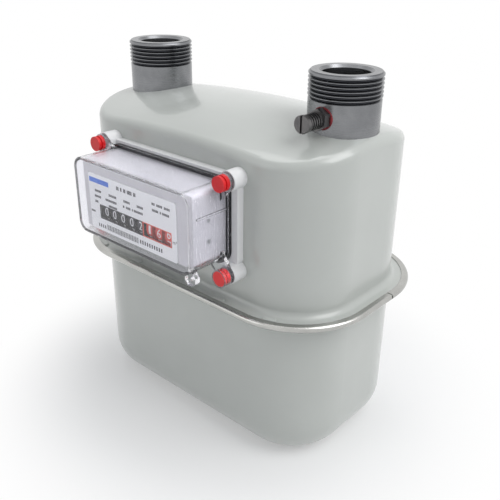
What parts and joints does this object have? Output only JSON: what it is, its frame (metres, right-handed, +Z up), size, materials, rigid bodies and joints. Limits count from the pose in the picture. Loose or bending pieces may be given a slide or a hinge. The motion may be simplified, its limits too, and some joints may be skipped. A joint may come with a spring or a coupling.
{
  "type": "gas meter",
  "caption": "Domestic diaphragm gas meter: deep-drawn grey case with a seam band, two threaded top connections and a clear-covered drum index on the front.",
  "frame": {"origin": "centre of the flat underside, midway between the two connections", "axes": "+Z up along the connections, +X towards the outlet on the right, -Y out of the index"},
  "size_m": [0.2258, 0.1624, 0.24],
  "materials": {
    "case_paint": "satin enamel",
    "gasket": "matt",
    "stainless": "rolled, bright",
    "turned_steel": "turned",
    "red_washer": "matt",
    "white_plastic": "satin",
    "clear_plastic": "clear, polished",
    "red_plastic": "gloss",
    "zinc": "zinc plated",
    "dial_white": "satin",
    "drum_red": "satin",
    "drum_black": "satin",
    "gear_plastic": "natural",
    "brass": "turned",
    "unit_plastic": "moulded",
    "diaphragm_rubber": "coated fabric",
    "plate_aluminium": "pressed",
    "rod_steel": "drawn",
    "valve_plastic": "bakelite"
  },
  "bodies": {
    "case": {"upper_case": "case_paint", "lower_case": "case_paint", "case_gasket": "gasket", "seam_band": "stainless", "inlet_connection": "turned_steel", "outlet_connection": "turned_steel", "test_nipple": "turned_steel", "nipple_washer": "red_washer", "index_base": "white_plastic", "index_gasket": "gasket", "index_cover": "clear_plastic", "cover_screws": "zinc", "seal_plugs": "red_plastic", "index_housing": "white_plastic", "dial_plate": "dial_white", "drum_axle": "zinc", "pinion_axle": "zinc", "drive_bush": "brass", "gear_bracket": "zinc", "chamber_body": "unit_plastic", "chamber_covers": "unit_plastic", "unit_screws": "zinc", "front_diaphragm": "diaphragm_rubber", "rear_diaphragm": "diaphragm_rubber", "valve_seat": "valve_plastic", "outlet_duct": "unit_plastic", "duct_seal": "gasket"},
    "crank": {"rotary_valve": "valve_plastic", "crank": "gear_plastic"},
    "layshaft": {"layshaft": "zinc", "layshaft_pinions": "gear_plastic"},
    "idler": {"idler_gear": "gear_plastic"},
    "drive_shaft": {"drive_shaft": "zinc", "drive_gear": "gear_plastic"},
    "contrate_wheel": {"contrate_wheel": "gear_plastic"},
    "drum_1": {"number_drum_1": "drum_red"},
    "drum_2": {"number_drum_2": "drum_red"},
    "drum_3": {"number_drum_3": "drum_red"},
    "drum_4": {"number_drum_4": "drum_black"},
    "drum_5": {"number_drum_5": "drum_black"},
    "drum_6": {"number_drum_6": "drum_black"},
    "drum_7": {"number_drum_7": "drum_black"},
    "drum_8": {"number_drum_8": "drum_black"},
    "pinion_1": {"transfer_pinion_1": "gear_plastic"},
    "pinion_2": {"transfer_pinion_2": "gear_plastic"},
    "pinion_3": {"transfer_pinion_3": "gear_plastic"},
    "pinion_4": {"transfer_pinion_4": "gear_plastic"},
    "pinion_5": {"transfer_pinion_5": "gear_plastic"},
    "pinion_6": {"transfer_pinion_6": "gear_plastic"},
    "pinion_7": {"transfer_pinion_7": "gear_plastic"},
    "front_flag": {"front_flag_rod": "rod_steel", "front_flag_arm": "plate_aluminium"},
    "front_plate": {"front_diaphragm_plate": "plate_aluminium"},
    "front_link": {"front_link": "plate_aluminium"},
    "rear_flag": {"rear_flag_rod": "rod_steel", "rear_flag_arm": "plate_aluminium"},
    "rear_plate": {"rear_diaphragm_plate": "plate_aluminium"},
    "rear_link": {"rear_link": "plate_aluminium"},
    "test_seal": {"test_screw_seal": "gasket"},
    "test_screw": {"test_screw": "turned_steel"}
  },
  "joints": [
    {"name": "crank_turn", "type": "hinge", "parent": "case", "child": "crank", "pos_m": [0, 0, 0.112], "axis": [0, 0, 1], "continuous": true},
    {"name": "layshaft_turn", "type": "hinge", "parent": "case", "child": "layshaft", "pos_m": [0, -0.048, 0.12475], "axis": [0, 1, 0], "continuous": true},
    {"name": "idler_turn", "type": "hinge", "parent": "case", "child": "idler", "pos_m": [0.01843, -0.048, 0.13251], "axis": [0, 1, 0], "continuous": true},
    {"name": "drive_shaft_turn", "type": "hinge", "parent": "case", "child": "drive_shaft", "pos_m": [0.0335, -0.048, 0.1641], "axis": [0, 1, 0], "continuous": true},
    {"name": "contrate_turn", "type": "hinge", "parent": "case", "child": "contrate_wheel", "pos_m": [0.0335, -0.0756, 0.1641], "axis": [1, 0, 0], "continuous": true},
    {"name": "drum_1_turn", "type": "hinge", "parent": "case", "child": "drum_1", "pos_m": [0.0233, -0.0756, 0.1515], "axis": [1, 0, 0], "continuous": true},
    {"name": "drum_2_turn", "type": "hinge", "parent": "case", "child": "drum_2", "pos_m": [0.0153, -0.0756, 0.1515], "axis": [1, 0, 0], "continuous": true},
    {"name": "drum_3_turn", "type": "hinge", "parent": "case", "child": "drum_3", "pos_m": [0.0073, -0.0756, 0.1515], "axis": [1, 0, 0], "continuous": true},
    {"name": "drum_4_turn", "type": "hinge", "parent": "case", "child": "drum_4", "pos_m": [-0.0007, -0.0756, 0.1515], "axis": [1, 0, 0], "continuous": true},
    {"name": "drum_5_turn", "type": "hinge", "parent": "case", "child": "drum_5", "pos_m": [-0.0087, -0.0756, 0.1515], "axis": [1, 0, 0], "continuous": true},
    {"name": "drum_6_turn", "type": "hinge", "parent": "case", "child": "drum_6", "pos_m": [-0.0167, -0.0756, 0.1515], "axis": [1, 0, 0], "continuous": true},
    {"name": "drum_7_turn", "type": "hinge", "parent": "case", "child": "drum_7", "pos_m": [-0.0247, -0.0756, 0.1515], "axis": [1, 0, 0], "continuous": true},
    {"name": "drum_8_turn", "type": "hinge", "parent": "case", "child": "drum_8", "pos_m": [-0.0327, -0.0756, 0.1515], "axis": [1, 0, 0], "continuous": true},
    {"name": "pinion_1_turn", "type": "hinge", "parent": "case", "child": "pinion_1", "pos_m": [0.0193, -0.0756, 0.1641], "axis": [1, 0, 0], "continuous": true},
    {"name": "pinion_2_turn", "type": "hinge", "parent": "case", "child": "pinion_2", "pos_m": [0.0113, -0.0756, 0.1641], "axis": [1, 0, 0], "continuous": true},
    {"name": "pinion_3_turn", "type": "hinge", "parent": "case", "child": "pinion_3", "pos_m": [0.0033, -0.0756, 0.1641], "axis": [1, 0, 0], "continuous": true},
    {"name": "pinion_4_turn", "type": "hinge", "parent": "case", "child": "pinion_4", "pos_m": [-0.0047, -0.0756, 0.1641], "axis": [1, 0, 0], "continuous": true},
    {"name": "pinion_5_turn", "type": "hinge", "parent": "case", "child": "pinion_5", "pos_m": [-0.0127, -0.0756, 0.1641], "axis": [1, 0, 0], "continuous": true},
    {"name": "pinion_6_turn", "type": "hinge", "parent": "case", "child": "pinion_6", "pos_m": [-0.0207, -0.0756, 0.1641], "axis": [1, 0, 0], "continuous": true},
    {"name": "pinion_7_turn", "type": "hinge", "parent": "case", "child": "pinion_7", "pos_m": [-0.0287, -0.0756, 0.1641], "axis": [1, 0, 0], "continuous": true},
    {"name": "front_flag_swing", "type": "hinge", "parent": "case", "child": "front_flag", "pos_m": [-0.062, -0.005, 0.056], "axis": [0, 0, 1], "range_deg": [-3.97, 20.78]},
    {"name": "front_plate_stroke", "type": "slide", "parent": "case", "child": "front_plate", "axis": [0, 1, 0], "range_m": [-0.00404, 0.02112]},
    {"name": "front_link_swing", "type": "hinge", "parent": "front_flag", "child": "front_link", "pos_m": [-0.03755, -0.03915, 0.12435], "axis": [0, 0, 1], "range_deg": [-20.79, 3.98]},
    {"name": "rear_flag_swing", "type": "hinge", "parent": "case", "child": "rear_flag", "pos_m": [-0.062, 0.005, 0.056], "axis": [0, 0, 1], "range_deg": [-20.78, 3.97]},
    {"name": "rear_plate_stroke", "type": "slide", "parent": "case", "child": "rear_plate", "axis": [0, 1, 0], "range_m": [-0.02112, 0.00404]},
    {"name": "rear_link_swing", "type": "hinge", "parent": "rear_flag", "child": "rear_link", "pos_m": [-0.03755, 0.03915, 0.12435], "axis": [0, 0, 1], "range_deg": [-3.98, 20.79]},
    {"name": "test_screw_lift", "type": "slide", "parent": "case", "child": "test_seal", "axis": [0, -1, 0], "range_m": [0, 0.004]},
    {"name": "test_screw_turn", "type": "hinge", "parent": "test_seal", "child": "test_screw", "pos_m": [0.0762, -0.0353, 0.2165], "axis": [0, -1, 0], "range_deg": [0, 1800.1]}
  ],
  "couplings": [
    {"joint": "layshaft_turn", "follows": "crank_turn", "ratio": -4},
    {"joint": "idler_turn", "follows": "crank_turn", "ratio": 1.3333},
    {"joint": "drive_shaft_turn", "follows": "crank_turn", "ratio": -1},
    {"joint": "contrate_turn", "follows": "crank_turn", "ratio": 0.25},
    {"joint": "drum_1_turn", "follows": "crank_turn", "ratio": -0.1},
    {"joint": "drum_2_turn", "follows": "crank_turn", "ratio": -0.01},
    {"joint": "drum_3_turn", "follows": "crank_turn", "ratio": -0.001},
    {"joint": "drum_4_turn", "follows": "crank_turn", "ratio": -0.0001},
    {"joint": "drum_5_turn", "follows": "crank_turn", "ratio": -0.00001},
    {"joint": "drum_6_turn", "follows": "crank_turn", "ratio": -0.000001},
    {"joint": "drum_7_turn", "follows": "crank_turn", "ratio": -0.0000001},
    {"joint": "drum_8_turn", "follows": "crank_turn", "ratio": -0.00000001},
    {"joint": "pinion_1_turn", "follows": "crank_turn", "ratio": 0.025},
    {"joint": "pinion_2_turn", "follows": "crank_turn", "ratio": 0.0025},
    {"joint": "pinion_3_turn", "follows": "crank_turn", "ratio": 0.00025},
    {"joint": "pinion_4_turn", "follows": "crank_turn", "ratio": 0.000025},
    {"joint": "pinion_5_turn", "follows": "crank_turn", "ratio": 0.0000025},
    {"joint": "pinion_6_turn", "follows": "crank_turn", "ratio": 0.00000025},
    {"joint": "pinion_7_turn", "follows": "crank_turn", "ratio": 0.000000025},
    {"joint": "front_plate_stroke", "follows": "front_flag_swing", "m_per_rad": 0.058208},
    {"joint": "front_link_swing", "follows": "front_flag_swing", "ratio": -1},
    {"joint": "rear_plate_stroke", "follows": "rear_flag_swing", "m_per_rad": 0.058208},
    {"joint": "rear_link_swing", "follows": "rear_flag_swing", "ratio": -1},
    {"joint": "test_screw_turn", "follows": "test_screw_lift", "rad_per_m": 7854}
  ]
}
